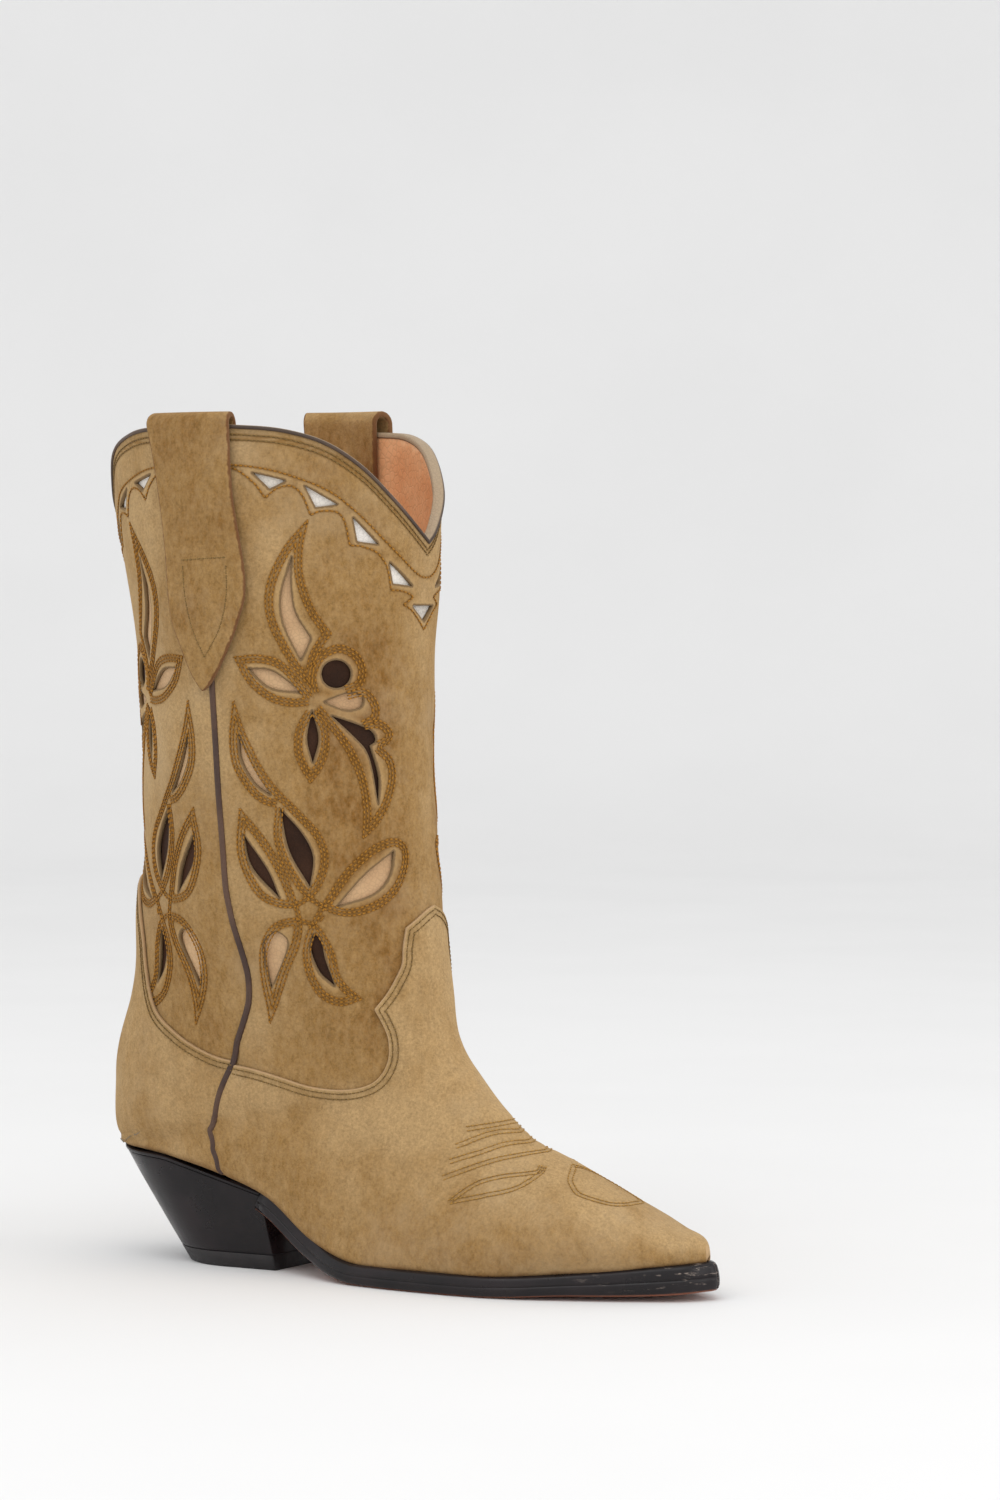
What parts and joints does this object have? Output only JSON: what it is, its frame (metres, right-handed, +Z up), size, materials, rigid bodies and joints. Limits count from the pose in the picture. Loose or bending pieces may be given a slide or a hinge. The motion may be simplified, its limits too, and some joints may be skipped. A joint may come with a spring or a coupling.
{
  "type": "cowboy boot",
  "caption": "Mid-calf suede cowboy boot for the right foot, with a scalloped topline, pull straps, leather inlays, a pointed toe and an underslung heel.",
  "frame": {"origin": "on the ground under the middle of the boot's bounding box", "axes": "+X towards the toe, +Z up, -Y towards the outer side of the foot"},
  "size_m": [0.2676, 0.1194, 0.336],
  "materials": {
    "suede": "napped suede",
    "white_leather": "smooth",
    "cream_leather": "smooth",
    "dark_leather": "smooth",
    "dark_trim": "smooth",
    "lining_leather": "smooth",
    "stiffener": "matt",
    "insole_board": "matt",
    "cork": "matt",
    "steel": "brushed",
    "black_edge": "waxed and polished",
    "sole_leather": "smooth",
    "heel_leather": "waxed and polished",
    "lift_rubber": "matt",
    "peg_wood": "matt"
  },
  "bodies": {
    "root": {"shaft_front_panel": "suede", "shaft_back_panel": "suede", "vamp": "suede", "counter_cover": "suede", "front_inlay_white": "white_leather", "front_inlay_cream": "cream_leather", "front_inlay_dark": "dark_leather", "back_inlay_white": "white_leather", "back_inlay_cream": "cream_leather", "back_inlay_dark": "dark_leather", "side_piping_outer": "dark_trim", "side_piping_inner": "dark_trim", "topline_binding": "dark_trim", "pull_strap_outer": "suede", "pull_strap_inner": "suede", "front_lining": "lining_leather", "back_lining": "lining_leather", "vamp_lining": "lining_leather", "heel_lining": "lining_leather", "toe_box": "stiffener", "heel_counter": "stiffener", "insole": "insole_board", "sock_liner": "lining_leather", "cork_filler": "cork", "shank_spring": "steel", "welt": "black_edge", "outsole": "sole_leather", "heel_rand": "black_edge", "heel_block": "heel_leather", "top_lift": "lift_rubber", "heel_nails": "steel", "heel_screw": "steel", "shank_pegs": "peg_wood"}
  },
  "joints": []
}
